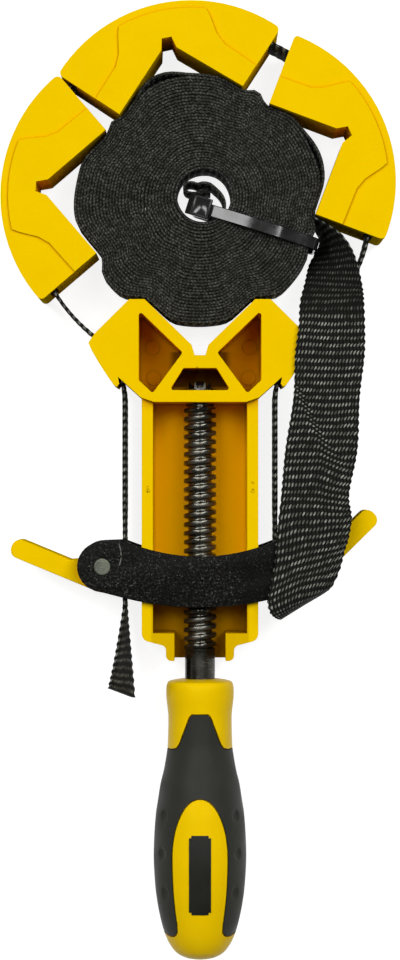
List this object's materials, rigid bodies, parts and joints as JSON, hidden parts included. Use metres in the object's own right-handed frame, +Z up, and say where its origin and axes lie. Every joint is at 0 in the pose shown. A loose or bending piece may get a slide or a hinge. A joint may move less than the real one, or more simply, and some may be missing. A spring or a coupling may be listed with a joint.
{
  "type": "band clamp",
  "caption": "Screw-tensioned band clamp: moulded frame with V jaw and open channel, steel yoke with cam levers, two-tone handle, loose corner blocks and spare webbing rolled and tied.",
  "frame": {"origin": "on the spindle's line, at the middle of the tool's length and on the surface that it lies on", "axes": "+X across the tool to the right, +Y along the spindle from the handle to the jaw, +Z up from the back to the open front"},
  "size_m": [0.1414, 0.3449, 0.0361],
  "materials": {
    "yellow_plastic": "moulded, satin",
    "webbing": "woven polyester webbing, matt",
    "soft_grip": "moulded soft grip, satin",
    "painted_steel": "black paint on pressed steel, lightly scratched",
    "black_steel": "blackened and oiled",
    "bright_steel": "zinc plated",
    "nylon": "black nylon"
  },
  "bodies": {
    "frame": {"frame_body": "yellow_plastic", "thrust_washer": "bright_steel", "band_ring": "webbing", "band_left_run": "webbing", "band_right_run": "webbing", "band_tail": "webbing", "band_fold": "webbing", "band_free_strap": "webbing", "band_roll": "webbing", "cable_tie": "nylon"},
    "screw": {"spindle": "black_steel", "spindle_retainer": "bright_steel", "handle_core": "yellow_plastic", "handle_grip": "soft_grip"},
    "yoke": {"yoke_front_plate": "painted_steel", "yoke_back_plate": "painted_steel", "left_pivot_rivet": "bright_steel", "right_pivot_rivet": "bright_steel", "traveller_nut": "bright_steel", "left_anvil": "painted_steel", "right_anvil": "painted_steel"},
    "left_lever": {"left_cam_lever": "yellow_plastic"},
    "right_lever": {"right_cam_lever": "yellow_plastic"},
    "left_corner": {"corner_left": "yellow_plastic"},
    "top_corner": {"corner_top": "yellow_plastic"},
    "right_corner": {"corner_right": "yellow_plastic"}
  },
  "joints": [
    {"name": "spindle_turn", "type": "hinge", "parent": "frame", "child": "screw", "pos_m": [0, 0, 0.017], "axis": [0, 1, 0], "range_deg": [-5670, 227]},
    {"name": "yoke_travel", "type": "slide", "parent": "frame", "child": "yoke", "axis": [0, 1, 0], "range_m": [-0.002, 0.05]},
    {"name": "left_lever_pivot", "type": "hinge", "parent": "yoke", "child": "left_lever", "pos_m": [-0.035, -0.031, 0.017], "axis": [0, 0, 1], "range_deg": [-42.5, 0]},
    {"name": "right_lever_pivot", "type": "hinge", "parent": "yoke", "child": "right_lever", "pos_m": [0.035, -0.031, 0.017], "axis": [0, 0, 1], "range_deg": [-22, 20.5]},
    {"name": "left_corner_slide", "type": "hinge", "parent": "frame", "child": "left_corner", "pos_m": [0, 0.1004, 0.017], "axis": [0, 0, 1], "range_deg": [0, 3]},
    {"name": "top_corner_slide", "type": "hinge", "parent": "frame", "child": "top_corner", "pos_m": [0, 0.1004, 0.017], "axis": [0, 0, 1], "range_deg": [-1.8, 0]},
    {"name": "right_corner_slide", "type": "hinge", "parent": "frame", "child": "right_corner", "pos_m": [0, 0.1004, 0.017], "axis": [0, 0, 1], "range_deg": [0, 1.2]}
  ],
  "couplings": [
    {"joint": "spindle_turn", "follows": "yoke_travel", "rad_per_m": -1979}
  ]
}
